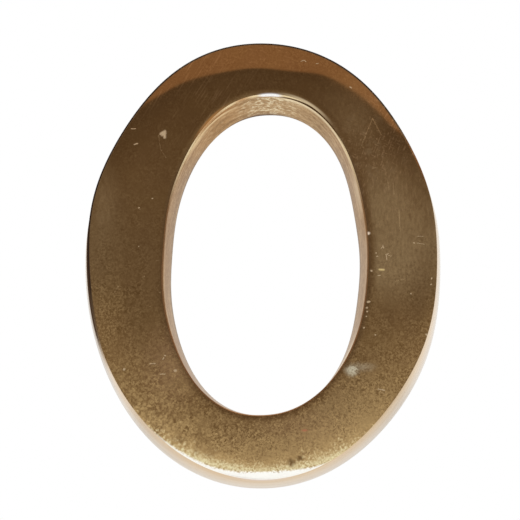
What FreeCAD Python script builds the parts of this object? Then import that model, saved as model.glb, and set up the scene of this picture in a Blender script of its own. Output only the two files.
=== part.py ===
import FreeCAD, Part
import math
import os

# Brass door number: the numeral nought, sand cast in one piece, hand filed and polished.
# It stands upright, as it is fixed to a door. X runs to the right as the number is read,
# Z is up, and Y runs into the door: the flat back lies in the plane Y = 0 and the face
# looks along -Y. The origin is on the back plane, midway between the two stud holes.
# Sizes are in millimetres and degrees.

# The face's outline, where it meets the side wall; an exponent of 2 is an ellipse, more is squarer
FACE_HEIGHT = 98.8
FACE_WIDTH = 76.2
FACE_EXPONENT = 2.04

# The hole's outline at the face, set by the width of the metal above and beside it
RIM_ENDS = 13.1
RIM_SIDES = 15.9
HOLE_EXPONENT = 2.18
HOLE_LEAN_ANGLE = 1.5
HOLE_SHIFT_X = 0.8
HOLE_SHIFT_Z = -0.45

# How far hand filing has left the outlines out of true, and how it is spread round each:
# how many lobes, their share of the depth, and the direction of one lobe. The second list
# of each pair comes on top of the first towards the back, where the wall was filed apart
FILING_DEPTH = 0.2
FACE_LOBES = ((3, 0.45, -40.0), (4, 1.3, 4.0), (6, 0.75, -6.0), (7, 0.65, 25.0), (8, 0.35, -19.0))
FOOT_LOBES = (
    (1, 0.35, 68.0), (2, 0.4, -78.0), (3, 0.55, 3.0), (4, 0.5, 44.0), (5, 0.45, -17.0), (6, 0.9, 25.0)
)
HOLE_LOBES = (
    (1, 0.3, -34.0), (2, 0.25, 44.0), (3, 1.7, -2.0), (4, 0.75, 12.0), (5, 0.6, 0.0), (6, 0.55, 8.0),
    (7, 0.25, -12.0),
)
HOLE_FOOT_LOBES = (
    (1, 0.35, -130.0), (2, 0.25, -46.0), (3, 0.85, 46.0), (4, 0.65, -43.0), (5, 0.55, 26.0), (6, 0.65, -29.0)
)

# Section through the metal
THICKNESS = 8.0
SIDE_DRAFT = 10.9
HOLE_DRAFT = 9.4
CROWN_WIDTH = 8.0
CROWN_DROP = 0.4
LIP_WIDTH = 1.6
LIP_DROP = 0.12
FACE_EDGE_RADIUS = 0.25
HOLE_EDGE_RADIUS = 0.35
BACK_EDGE_RADIUS = 0.3

# Blind holes in the back, tapped M4 for the fixing studs
TAP_DRILL = 3.3
TAP_FLOOR = 2.0
TAP_MOUTH = 4.0
DRILL_POINT = 118.0

# How finely the outlines and the curved parts of the section are drawn
OUTLINE_POINTS = 48
CORNER_STEPS = 3
ROLL_STEPS = 5
SEWING_REACH = 0.001
CUT_ROOM = 2.0


def oval_point(width, height, exponent, turn):
    """A point of a superellipse, as (x, z); turn runs clockwise from the top."""
    across = math.sin(turn)
    up = math.cos(turn)
    x = width / 2.0 * math.copysign(abs(across) ** (2.0 / exponent), across)
    z = height / 2.0 * math.copysign(abs(up) ** (2.0 / exponent), up)
    return x, z


def filing(lobes, bearing):
    """How far the filing has left the outline out of true in this direction."""
    depth = 0.0
    for count, share, direction in lobes:
        depth += FILING_DEPTH * share * math.cos(count * (bearing - math.radians(direction)))
    return depth


def filed_point(width, height, exponent, lobes, turn):
    """A point of the superellipse, moved in or out along its own radius by the filing."""
    x, z = oval_point(width, height, exponent, turn)
    radius = math.hypot(x, z)
    moved = radius + filing(lobes, math.atan2(x, z))
    return x * moved / radius, z * moved / radius


class Outline:
    """A closed oval that can be drawn at any depth and at any distance outside itself."""

    def __init__(self, width, height, exponent, lobes, foot_lobes, lean_angle=0.0, shift=(0.0, 0.0)):
        self.shape = (width, height, exponent, lobes)
        self.foot_lobes = foot_lobes
        self.lean = math.radians(lean_angle)
        self.shift = shift

    def grown_point(self, turn, depth, grow):
        """The outline's point at this turn, moved along its outward normal by grow.

        The filing of the foot comes on top of that, fully at the back and fading to the face.
        """
        step = math.pi / OUTLINE_POINTS / 8.0
        x, z = filed_point(*self.shape, turn)
        grow += (1.0 - depth / THICKNESS) * filing(self.foot_lobes, math.atan2(x, z))
        x_before, z_before = filed_point(*self.shape, turn - step)
        x_after, z_after = filed_point(*self.shape, turn + step)
        along_x = x_after - x_before
        along_z = z_after - z_before
        length = math.hypot(along_x, along_z)
        x -= grow * along_z / length
        z += grow * along_x / length
        leant_x = x * math.cos(self.lean) + z * math.sin(self.lean)
        leant_z = z * math.cos(self.lean) - x * math.sin(self.lean)
        return leant_x + self.shift[0], leant_z + self.shift[1]

    def wire(self, depth, grow=0.0):
        """The outline as one closed spline in the plane that lies depth in front of the back."""
        points = []
        for i in range(OUTLINE_POINTS):
            x, z = self.grown_point(2.0 * math.pi * (i + 0.5) / OUTLINE_POINTS, depth, grow)
            points.append(FreeCAD.Vector(x, -depth, z))
        curve = Part.BSplineCurve()
        curve.interpolate(Points=points, PeriodicFlag=True)
        return Part.Wire([curve.toShape()])


def corner_arc(corner, normal_before, normal_after, radius):
    """Points of the arc that rounds a corner of the section.

    The corner is (outward, depth), and each of its two sides is given by the angle of its
    normal out of the metal.
    """
    middle = (normal_before + normal_after) / 2.0
    reach = radius / math.cos((normal_after - normal_before) / 2.0)
    centre_out = corner[0] - reach * math.cos(middle)
    centre_depth = corner[1] - reach * math.sin(middle)
    points = []
    for i in range(CORNER_STEPS + 1):
        angle = normal_before + (normal_after - normal_before) * i / CORNER_STEPS
        points.append((centre_out + radius * math.cos(angle), centre_depth + radius * math.sin(angle)))
    return points


def rim_section(draft_angle, roll_width, roll_drop, edge_radius):
    """The section of one rim from the flat back to the flat face, in four bands.

    They are the back edge, the drafted wall, the front edge, and a parabola that rolls up
    from there to the face. Each band is its (outward, depth) points, and whether straight
    strips join them: an edge is so narrow that its strips pass for a curve.
    """
    draft = math.radians(draft_angle)
    edge_depth = THICKNESS - roll_drop
    roll_normal = math.pi / 2.0 - math.atan2(2.0 * roll_drop, roll_width)
    back_edge = corner_arc((edge_depth * math.tan(draft), 0.0), -math.pi / 2.0, draft, BACK_EDGE_RADIUS)
    front_edge = corner_arc((0.0, edge_depth), draft, roll_normal, edge_radius)
    wall = [back_edge[-1], front_edge[0]]
    crown = [front_edge[-1]]
    start = -front_edge[-1][0]
    for i in range(1, ROLL_STEPS + 1):
        inward = start + (roll_width - start) * i / ROLL_STEPS
        crown.append((-inward, THICKNESS - roll_drop * (1.0 - inward / roll_width) ** 2))
    return [(back_edge, True), (wall, True), (front_edge, True), (crown, False)]


def rim_faces(outline, side, section):
    """The faces of one rim; side is 1 where the metal lies inside the outline and -1 where outside."""
    faces = []
    for points, straight in section:
        rings = [outline.wire(depth, side * outward) for outward, depth in points]
        faces.extend(Part.makeLoft(rings, False, straight).Faces)
    return faces


def flat_face(face, face_section, hole, hole_section, end):
    """The flat ring between the two rims, at the back (end 0) or at the front (end -1)."""
    face_out, depth = face_section[end][0][end]
    hole_out, depth = hole_section[end][0][end]
    wires = [face.wire(depth, face_out), hole.wire(depth, -hole_out)]
    return Part.makeFace(wires, "Part::FaceMakerBullseye")


def casting():
    """The nought as it leaves the file: both rims and both flats, sewn into one solid."""
    face = Outline(FACE_WIDTH, FACE_HEIGHT, FACE_EXPONENT, FACE_LOBES, FOOT_LOBES)
    hole_width = FACE_WIDTH - 2.0 * RIM_SIDES
    hole_height = FACE_HEIGHT - 2.0 * RIM_ENDS
    shift = (HOLE_SHIFT_X, HOLE_SHIFT_Z)
    hole = Outline(
        hole_width, hole_height, HOLE_EXPONENT, HOLE_LOBES, HOLE_FOOT_LOBES, HOLE_LEAN_ANGLE, shift
    )
    face_section = rim_section(SIDE_DRAFT, CROWN_WIDTH, CROWN_DROP, FACE_EDGE_RADIUS)
    hole_section = rim_section(HOLE_DRAFT, LIP_WIDTH, LIP_DROP, HOLE_EDGE_RADIUS)
    skin = rim_faces(face, 1, face_section) + rim_faces(hole, -1, hole_section)
    for end in (0, -1):
        skin.append(flat_face(face, face_section, hole, hole_section, end))
    shell = Part.makeCompound(skin)
    shell.sewShape(SEWING_REACH)
    return Part.makeSolid(shell.Shells[0])


def stud_hole(height):
    """A blind tapping hole in the back at this height, with a drill point and an eased mouth."""
    radius = TAP_DRILL / 2.0
    point = radius / math.tan(math.radians(DRILL_POINT / 2.0))
    straight = THICKNESS - TAP_FLOOR - point
    ease = (TAP_MOUTH - TAP_DRILL) / 2.0
    corners = []
    for reach, y in (
        (0.0, CUT_ROOM),
        (TAP_MOUTH / 2.0 + CUT_ROOM, CUT_ROOM),
        (radius, -ease),
        (radius, -straight),
        (0.0, -straight - point),
        (0.0, CUT_ROOM),
    ):
        corners.append(FreeCAD.Vector(reach, y, height))
    section = Part.Face(Part.makePolygon(corners))
    return section.revolve(FreeCAD.Vector(0, 0, height), FreeCAD.Vector(0, 1, 0), 360.0)


def numeral():
    """The finished casting, drilled at mid-rim above and below the hole."""
    stud_height = (FACE_HEIGHT - RIM_ENDS) / 2.0
    return casting().cut([stud_hole(stud_height), stud_hole(-stud_height)])


os.makedirs("parts", exist_ok=True)
door_number = numeral()
door_number.exportStep("parts/numeral.step")
print("solids", len(door_number.Solids), "valid", door_number.isValid())
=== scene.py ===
import math

import bpy
import numpy as np
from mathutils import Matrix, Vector
from mathutils.geometry import delaunay_2d_cdt


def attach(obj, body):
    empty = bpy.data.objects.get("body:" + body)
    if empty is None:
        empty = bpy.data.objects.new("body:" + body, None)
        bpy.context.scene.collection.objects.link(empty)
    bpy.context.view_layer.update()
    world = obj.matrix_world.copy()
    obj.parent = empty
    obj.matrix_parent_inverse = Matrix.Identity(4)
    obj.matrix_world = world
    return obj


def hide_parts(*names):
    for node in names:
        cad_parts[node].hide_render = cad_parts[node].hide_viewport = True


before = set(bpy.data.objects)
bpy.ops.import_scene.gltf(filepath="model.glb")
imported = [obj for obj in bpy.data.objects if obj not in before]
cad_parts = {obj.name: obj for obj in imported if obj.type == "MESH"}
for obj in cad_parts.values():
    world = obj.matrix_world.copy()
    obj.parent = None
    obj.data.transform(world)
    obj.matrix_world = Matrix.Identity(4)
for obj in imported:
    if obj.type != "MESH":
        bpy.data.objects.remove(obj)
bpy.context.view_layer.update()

# The casting: a solid brass nought, sand cast in one piece, filed to its outline and buffed.
# Its face is flat in the middle and rolls off to the outer edge, both side walls have the
# draft of the mould, and every long edge is broken by the file.

# Sizes are in millimetres; x runs to the right, z up, and y into the door from the face
TO_METRES = 0.001
THICKNESS = 8.0
FACE_HALF_WIDTH = 38.1
FACE_HALF_HEIGHT = 49.4
FACE_EXPONENT = 2.04
HOLE_HALF_WIDTH = 22.2
HOLE_HALF_HEIGHT = 36.3
HOLE_EXPONENT = 2.18
HOLE_LEAN = math.radians(1.5)
HOLE_CENTRE = (0.8, -0.45)
SIDE_DRAFT = math.radians(10.9)
HOLE_DRAFT = math.radians(9.4)
CROWN_WIDTH = 8.0
CROWN_DROP = 0.4
LIP_WIDTH = 1.6
LIP_DROP = 0.12
FACE_EDGE_RADIUS = 0.25
HOLE_EDGE_RADIUS = 0.35
BACK_EDGE_RADIUS = 0.3
# Unevenness left by hand filing: lobes round the outline, their depth, the direction of one
FACE_LOBES = ((3, 0.09, -40.0), (4, 0.26, 4.0), (6, 0.15, -6.0), (7, 0.13, 25.0), (8, 0.07, -19.0))
FOOT_LOBES = (
    (1, 0.07, 68.0), (2, 0.08, -78.0), (3, 0.11, 3.0), (4, 0.1, 44.0), (5, 0.09, -17.0), (6, 0.18, 25.0)
)
HOLE_LOBES = (
    (1, 0.06, -34.0), (2, 0.05, 44.0), (3, 0.34, -2.0), (4, 0.15, 12.0), (5, 0.12, 0.0), (6, 0.11, 8.0),
    (7, 0.05, -12.0),
)
HOLE_FOOT_LOBES = (
    (1, 0.07, -130.0), (2, 0.05, -46.0), (3, 0.17, 46.0), (4, 0.13, -43.0), (5, 0.11, 26.0), (6, 0.13, -29.0)
)
# The buff's waves: each one's depth, its mm across and mm up the face for each radian, and its
# start in radians. Together they are shallower than the buff's mean depth
BUFF_WAVES = ((0.010, 5.1, 9.0, 0.4), (0.012, -11.0, 6.3, 2.0), (0.006, 2.9, -3.4, 1.1))
BUFF_DEPTH = 0.03
# How finely the mesh is drawn: points round an outline, rows in each band of the section, and
# how far beside an arc its support row lies
TURN_STEPS = 840
EDGE_ROWS = 6
WALL_ROWS, CROWN_ROWS, FLAT_ROWS, LIP_ROWS = 12, 18, 8, 8
SUPPORT_GAP = 0.05


def filing(lobes, bearing):
    """How far the filing has left an outline out of true: the sum of its cosine lobes."""
    depth = np.zeros_like(bearing)
    for count, lobe_depth, direction in lobes:
        depth += lobe_depth * np.cos(count * (bearing - math.radians(direction)))
    return depth


class Outline:
    """A filed superellipse: its points at each turn, clockwise from the top, and their normals.

    The radius gains the filing's lobes, then the outline leans clockwise about its centre.
    A normal is square to the line between the two neighbouring points.
    """

    def __init__(self, half_width, half_height, exponent, lobes, foot_lobes, lean, centre):
        turns = 2.0 * math.pi * (np.arange(TURN_STEPS) + 0.5) / TURN_STEPS
        across, up = np.sin(turns), np.cos(turns)
        x = half_width * np.sign(across) * np.abs(across) ** (2.0 / exponent)
        z = half_height * np.sign(up) * np.abs(up) ** (2.0 / exponent)
        radius, bearing = np.hypot(x, z), np.arctan2(x, z)
        moved = (radius + filing(lobes, bearing)) / radius
        x, z = x * moved, z * moved
        leant_x = x * math.cos(lean) + z * math.sin(lean) + centre[0]
        leant_z = z * math.cos(lean) - x * math.sin(lean) + centre[1]
        self.points = np.stack([leant_x, leant_z], axis=1)
        along = np.roll(self.points, -1, axis=0) - np.roll(self.points, 1, axis=0)
        normals = np.stack([-along[:, 1], along[:, 0]], axis=1)
        self.normals = normals / np.linalg.norm(normals, axis=1, keepdims=True)
        self.foot = filing(foot_lobes, bearing)

    def rows(self, side, section):
        """Rows of points (row, turn, xyz), one for each (outward, depth) of the section.

        Each row is the outline moved along its normals by outward, and by the filing of the
        foot, which is full at the back and fades to nothing at the face. Side is 1 where the
        metal lies inside the outline and -1 where it lies outside.
        """
        outward, depth = section[:, :1], section[:, 1:]
        moved = side * outward + (1.0 - depth / THICKNESS) * self.foot
        grown = self.points + moved[..., None] * self.normals
        return np.stack([grown[..., 0], np.broadcast_to(-depth, moved.shape), grown[..., 1]], axis=2)


def corner_arc(corner, normal_before, normal_after, radius):
    """The arc that rounds a corner of the section, as (outward, depth) rows.

    Its centre lies on the corner's bisector, radius away from both sides.
    """
    middle = (normal_before + normal_after) / 2.0
    reach = radius / math.cos((normal_after - normal_before) / 2.0)
    angles = np.linspace(normal_before, normal_after, EDGE_ROWS + 1)
    outward = corner[0] - reach * math.cos(middle) + radius * np.cos(angles)
    depth = corner[1] - reach * math.sin(middle) + radius * np.sin(angles)
    return np.stack([outward, depth], axis=1)


def rim_section(draft, roll_width, roll_drop, edge_radius, roll_rows):
    """One rim's section from the flat back to the flat face, as (outward, depth) rows.

    Back edge arc, straight drafted wall, front edge arc, then a parabola that rises by
    roll_drop over roll_width. A row hard beside each arc keeps the shading of the flats true.
    """
    edge_depth = THICKNESS - roll_drop
    roll_normal = math.pi / 2.0 - math.atan2(2.0 * roll_drop, roll_width)
    back = corner_arc((edge_depth * math.tan(draft), 0.0), -math.pi / 2.0, draft, BACK_EDGE_RADIUS)
    front = corner_arc((0.0, edge_depth), draft, roll_normal, edge_radius)
    wall_depth = np.linspace(back[-1, 1] + SUPPORT_GAP, front[0, 1] - SUPPORT_GAP, WALL_ROWS)
    wall = np.stack([(edge_depth - wall_depth) * math.tan(draft), wall_depth], axis=1)
    start = -front[-1, 0] + SUPPORT_GAP
    inward = start + (roll_width - start) * np.linspace(0.0, 1.0, roll_rows)
    roll = np.stack([-inward, THICKNESS - roll_drop * (1.0 - inward / roll_width) ** 2], axis=1)
    support = back[:1] - [[SUPPORT_GAP, 0.0]]
    return np.concatenate([support, back, wall, front, roll])


def buffed_waves(x, z):
    """How far the buff has taken the face below its true plane: a mean depth and three sine waves."""
    depth = np.full_like(x, BUFF_DEPTH)
    for wave_depth, across, up, start in BUFF_WAVES:
        depth += wave_depth * np.sin(x / across + z / up + start)
    return depth


face_outline = Outline(
    FACE_HALF_WIDTH, FACE_HALF_HEIGHT, FACE_EXPONENT, FACE_LOBES, FOOT_LOBES, 0.0, (0.0, 0.0)
)
hole_outline = Outline(
    HOLE_HALF_WIDTH, HOLE_HALF_HEIGHT, HOLE_EXPONENT, HOLE_LOBES, HOLE_FOOT_LOBES, HOLE_LEAN, HOLE_CENTRE
)
face_section = rim_section(SIDE_DRAFT, CROWN_WIDTH, CROWN_DROP, FACE_EDGE_RADIUS, CROWN_ROWS)
hole_section = rim_section(HOLE_DRAFT, LIP_WIDTH, LIP_DROP, HOLE_EDGE_RADIUS, LIP_ROWS)
face_rim = face_outline.rows(1.0, face_section)
hole_rim = hole_outline.rows(-1.0, hole_section)[::-1]
share = np.linspace(0.0, 1.0, FLAT_ROWS + 2)[1:-1, None, None]
flat = face_rim[-1] * (1.0 - share) + hole_rim[0] * share
rows = np.concatenate([face_rim, flat, hole_rim])
on_face = rows[..., 1] < -(THICKNESS - CROWN_DROP)
rows[..., 1] += np.where(on_face, buffed_waves(rows[..., 0], rows[..., 2]), 0.0)

# The back: ground flat on a belt, then drilled and tapped M4 at two places for the hidden
# studs that hold the number to the door. The tapped mouth is eased by a countersink.
STUD_HEIGHT = (FACE_HALF_HEIGHT + HOLE_HALF_HEIGHT) / 2.0
TAP_DRILL_RADIUS = 1.65
THREAD_RADIUS = 2.0
THREAD_PITCH = 0.7
THREAD_LENGTH = 4.4
DRILLED_DEPTH = 5.01
POINT_DEPTH = 6.0
POINT_RADIUS = 0.02
THREAD_STEPS = 48
THREAD_ROWS = 66
# One flank and the root of the thread, as shares of its pitch
THREAD_FLANK, THREAD_ROOT = 5.0 / 16.0, 1.0 / 8.0
# Points of the back that lie closer than this are one
MERGE_REACH = 1e-6


def tapped_hole(height):
    """Rows (row, turn, xyz) of a tapped hole, from the flat round its mouth to its drill point.

    The thread's depth is a wave along the hole that moves on by one pitch in each turn: two
    straight flanks between a narrow root and a broader crest, in the thread's shares of the
    pitch. The countersink cuts it off at the mouth, and it runs out before the drill point.
    """
    turns = 2.0 * math.pi * np.arange(THREAD_STEPS) / THREAD_STEPS
    depth = np.linspace(0.0, DRILLED_DEPTH, THREAD_ROWS)[:, None]
    phase = (depth / THREAD_PITCH + turns / (2.0 * math.pi)) % 1.0
    from_crest = THREAD_ROOT / 2.0 + THREAD_FLANK - np.abs(phase - 0.5)
    groove = np.clip(from_crest / THREAD_FLANK, 0.0, 1.0)
    runout = np.clip((THREAD_LENGTH - depth) / THREAD_PITCH, 0.0, 1.0)
    radius = TAP_DRILL_RADIUS + (THREAD_RADIUS - TAP_DRILL_RADIUS) * groove * runout
    radius = np.maximum(radius, THREAD_RADIUS - depth)
    mouth = np.full((1, THREAD_STEPS), THREAD_RADIUS + SUPPORT_GAP)
    point = np.full((1, THREAD_STEPS), POINT_RADIUS)
    radius = np.concatenate([mouth, radius, point])
    depth = np.concatenate([[[0.0]], depth, [[POINT_DEPTH]]])
    x, z = radius * np.sin(turns), height + radius * np.cos(turns)
    return np.stack([x, np.broadcast_to(-depth, x.shape), z], axis=2)


def inside(loop, places):
    """True for each place that a closed loop goes round: seen from there, it turns full circle."""
    start = loop[None] - places[:, None]
    end = np.roll(start, -1, axis=1)
    cross = start[..., 0] * end[..., 1] - start[..., 1] * end[..., 0]
    ahead = (start * end).sum(axis=2)
    return np.abs(np.arctan2(cross, ahead).sum(axis=1)) > math.pi


def flat_between(outer, *holes):
    """Triangles that fill a flat outline around the holes in it, all facing into the door."""
    loops = [outer, *holes]
    points = np.concatenate(loops)
    edges = []
    for loop in loops:
        first = len(edges)
        edges += [(first + i, first + (i + 1) % len(loop)) for i in range(len(loop))]
    filled = delaunay_2d_cdt([Vector(point) for point in points], edges, [], 0, MERGE_REACH)
    triangles = np.array([[filled[3][corner][0] for corner in face] for face in filled[2]])
    middles = points[triangles].mean(axis=1)
    in_metal = inside(outer, middles)
    for hole in holes:
        in_metal &= ~inside(hole, middles)
    triangles = triangles[in_metal]
    first, second, third = points[triangles].transpose(1, 0, 2)
    side, other = second - first, third - first
    leftward = side[:, 0] * other[:, 1] - side[:, 1] * other[:, 0] > 0.0
    triangles[leftward] = triangles[leftward, ::-1]
    return triangles


def grid_faces(index):
    """Four-cornered faces between the neighbouring rows of an index grid whose turns close."""
    near, far = index[:-1], index[1:]
    return np.stack([near, far, np.roll(far, -1, axis=1), np.roll(near, -1, axis=1)], axis=2).reshape(-1, 4)


# All surfaces of the casting are one closed skin. Its faces have five finishes: the aged
# face, the outer wall, the hole's wall, the ground back and the tapped holes.
FACE, OUTER_WALL, HOLE_WALL, BACK, THREAD = range(5)
tapped = [tapped_hole(STUD_HEIGHT), tapped_hole(-STUD_HEIGHT)]
ring = np.arange(rows.shape[0] * TURN_STEPS).reshape(-1, TURN_STEPS)
back_span = 1 + EDGE_ROWS // 2
wall_span = EDGE_ROWS // 2 + WALL_ROWS + 1
band_finish = np.full(rows.shape[0] - 1, FACE)
band_finish[:back_span] = BACK
band_finish[back_span:back_span + wall_span] = OUTER_WALL
band_finish[-back_span - wall_span - EDGE_ROWS:-back_span] = HOLE_WALL
band_finish[-back_span:] = BACK
faces = grid_faces(ring).tolist()
finishes = np.repeat(band_finish, TURN_STEPS).tolist()
back_loops = [ring[0], ring[-1]]
points = [rows.reshape(-1, 3)]
first = ring.size
for hole in tapped:
    index = first + np.arange(hole.shape[0] * THREAD_STEPS).reshape(-1, THREAD_STEPS)
    wall_faces = grid_faces(index)[:, ::-1].tolist() + [index[-1].tolist()]
    faces += wall_faces
    finishes += [THREAD] * len(wall_faces)
    back_loops.append(index[0])
    points.append(hole.reshape(-1, 3))
    first += index.size
points = np.concatenate(points)
back_faces = flat_between(*[points[loop][:, [0, 2]] for loop in back_loops])
faces += np.concatenate(back_loops)[back_faces].tolist()
finishes += [BACK] * len(back_faces)

mesh = bpy.data.meshes.new("door_numeral")
mesh.from_pydata((points * TO_METRES).tolist(), [], faces)
mesh.polygons.foreach_set("material_index", finishes)
mesh.polygons.foreach_set("use_smooth", [True] * len(faces))
# Each point knows how far it lies, in mm, from the face's outer edge and from the hole's edge
edge_row = back_span + wall_span + EDGE_ROWS // 2
for name, row in (("from_edge", rows[edge_row]), ("from_hole", rows[-1 - edge_row])):
    distance = np.zeros(len(points))
    distance[:ring.size] = np.linalg.norm(rows - row, axis=2).reshape(-1)
    mesh.attributes.new(name, "FLOAT", "POINT").data.foreach_set("value", distance.astype(np.float32))
mesh.update()
numeral = bpy.data.objects.new("door_numeral", mesh)
bpy.context.collection.objects.link(numeral)

# The finish: yellow brass, buffed to a mirror on the face and left as filed on the walls. Its
# years on a door laid a brown film over it, which hands and weather have since worn through
# to gold low on the face, and bare along the bottom edge, where the near-white colour is also a painted
# highlight.


def hex_colour(code):
    """An sRGB hex colour as linear red, green, blue and alpha."""
    channels = [int(code[i : i + 2], 16) / 255.0 for i in (1, 3, 5)]
    return [c / 12.92 if c <= 0.04045 else ((c + 0.055) / 1.055) ** 2.4 for c in channels] + [1.0]


def add_node(tree, kind, inputs=None, **settings):
    """Adds a node, with its settings, and its inputs as values or as what they are linked to.

    Inputs go by name or number. A Mix node's are 0 for the factor, 4 and 5 for two vectors and
    6 and 7 for two colours; its output 1 is the mixed vector and its output 2 the colour.
    """
    node = tree.nodes.new(kind)
    for name, value in settings.items():
        setattr(node, name, value)
    for name, value in (inputs or {}).items():
        if isinstance(value, bpy.types.Node):
            value = value.outputs[0]
        if isinstance(value, bpy.types.NodeSocket):
            tree.links.new(value, node.inputs[name])
        else:
            node.inputs[name].default_value = value
    return node


def new_material(name):
    """An empty brass material: its node tree, its shader, and its coordinates in millimetres."""
    material = bpy.data.materials.new(name)
    material.use_nodes = True
    tree = material.node_tree
    tree.nodes.clear()
    place = add_node(tree, "ShaderNodeTexCoord").outputs["Object"]
    place = add_node(tree, "ShaderNodeVectorMath", {0: place, "Scale": 1.0 / TO_METRES}, operation="SCALE")
    shader = add_node(tree, "ShaderNodeBsdfPrincipled", {"Metallic": 1.0})
    add_node(tree, "ShaderNodeOutputMaterial", {"Surface": shader})
    return material, tree, shader, place.outputs[0]


def layered_colour(tree, ground, layers):
    """The ground colour with each layer's colour laid over it, as strong as the layer's mask."""
    colour = ground
    for mask, code in layers:
        layer = add_node(tree, "ShaderNodeMix", {0: mask, 6: colour, 7: hex_colour(code)}, data_type="RGBA")
        colour = layer.outputs[2]
    return colour


def weighted_sum(tree, start, terms):
    """The start value plus each (mask, amount) product, kept between 0 and 1 after every one."""
    total = start
    for mask, amount in terms:
        total = add_node(
            tree, "ShaderNodeMath", {0: mask, 1: amount, 2: total}, operation="MULTIPLY_ADD", use_clamp=True
        )
    return total


def product(tree, *values):
    """The values multiplied together: for masks, where all of them meet."""
    total = values[0]
    for value in values[1:]:
        total = add_node(tree, "ShaderNodeMath", {0: total, 1: value}, operation="MULTIPLY")
    return total


def matte_dirt(tree, shader, dirt):
    """Lays dirt on the metal: where its mask is 1 there is no metal, and nothing is reflected."""
    metal = add_node(tree, "ShaderNodeMath", {0: 1.0, 1: dirt}, operation="SUBTRACT")
    tree.links.new(metal.outputs[0], shader.inputs["Metallic"])
    specular = product(tree, metal, shader.inputs["Specular IOR Level"].default_value)
    tree.links.new(specular.outputs[0], shader.inputs["Specular IOR Level"])


def soft_patch(tree, place, centre, reach):
    """A mask that is 1 at a centre (x, z) of the face and fades smoothly to 0 at reach, in mm."""
    offset = add_node(
        tree, "ShaderNodeVectorMath", {0: place, 1: (centre[0], 0.0, centre[1])}, operation="SUBTRACT"
    )
    share = (1.0 / reach[0], 0.0, 1.0 / reach[1])
    scaled = add_node(tree, "ShaderNodeVectorMath", {0: offset, 1: share}, operation="MULTIPLY")
    distance = add_node(tree, "ShaderNodeVectorMath", {0: scaled}, operation="LENGTH").outputs["Value"]
    return add_node(
        tree, "ShaderNodeMapRange", {"Value": distance, "From Min": 1.0, "From Max": 0.0},
        interpolation_type="SMOOTHSTEP",
    )


def stroke_mask(tree, place, strokes):
    """A mask of nicks and scratches: 1 on the line of each stroke, 0 at its half width.

    A stroke is (x, z, run_x, run_z, half_width) in mm: where it starts, how far it runs and
    how wide it is. A point's distance is taken to the nearest point of the stroke. No node
    here uses use_clamp: Cycles would keep every stroke's value waiting in its small stack.
    """
    flat_place = add_node(tree, "ShaderNodeVectorMath", {0: place, 1: (1.0, 0.0, 1.0)}, operation="MULTIPLY")
    total = 0.0
    for x, z, run_x, run_z, half_width in strokes:
        length_squared = run_x**2 + run_z**2
        offset = add_node(tree, "ShaderNodeVectorMath", {0: flat_place, 1: (x, 0.0, z)}, operation="SUBTRACT")
        toward = (run_x / length_squared, 0.0, run_z / length_squared)
        share = add_node(tree, "ShaderNodeVectorMath", {0: offset, 1: toward}, operation="DOT_PRODUCT")
        share = add_node(tree, "ShaderNodeMath", {0: share.outputs["Value"], 1: 0.0}, operation="MAXIMUM")
        share = add_node(tree, "ShaderNodeMath", {0: share, 1: 1.0}, operation="MINIMUM")
        nearest = add_node(
            tree, "ShaderNodeVectorMath", {0: (run_x, 0.0, run_z), "Scale": share}, operation="SCALE"
        )
        gap = add_node(tree, "ShaderNodeVectorMath", {0: offset, 1: nearest}, operation="DISTANCE")
        mark = add_node(
            tree, "ShaderNodeMath", {0: gap.outputs["Value"], 1: -1.0 / half_width, 2: 1.0},
            operation="MULTIPLY_ADD",
        )
        total = add_node(tree, "ShaderNodeMath", {0: mark, 1: total}, operation="MAXIMUM")
    return total


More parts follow.
